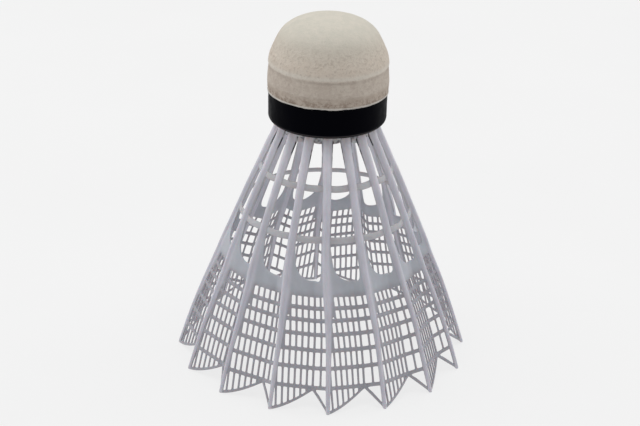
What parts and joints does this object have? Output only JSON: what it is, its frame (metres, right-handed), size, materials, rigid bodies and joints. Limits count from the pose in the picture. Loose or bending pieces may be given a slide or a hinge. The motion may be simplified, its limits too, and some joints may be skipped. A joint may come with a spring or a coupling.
{
  "type": "badminton shuttlecock",
  "caption": "Shuttlecock with a round cork head in a leathery cover, a dark tape band and a pleated lattice skirt of moulded nylon feathers",
  "frame": {"origin": "centre of the circle of feather tips, on the plane that the tips stand on", "axes": "+Z is the axis of the shuttlecock and points from the tips to the crown of the head; -Y passes through the stem of feather_01; the feathers are numbered anticlockwise seen from above"},
  "size_m": [0.0678, 0.0678, 0.0808],
  "materials": {
    "cork": "matte pressed cork",
    "cover": "matte, finely pitted leather-like sheet, cream",
    "tape": "smooth black tape with a soft gloss",
    "nylon": "satin, slightly translucent grey-white moulded nylon"
  },
  "bodies": {
    "root": {"cork_dome": "cork", "cork_base": "cork", "head_cover": "cover", "tape_band": "tape", "skirt_collar": "nylon", "feather_01": "nylon", "feather_02": "nylon", "feather_03": "nylon", "feather_04": "nylon", "feather_05": "nylon", "feather_06": "nylon", "feather_07": "nylon", "feather_08": "nylon", "feather_09": "nylon", "feather_10": "nylon", "feather_11": "nylon", "feather_12": "nylon", "feather_13": "nylon", "feather_14": "nylon", "feather_15": "nylon", "feather_16": "nylon"}
  },
  "joints": []
}
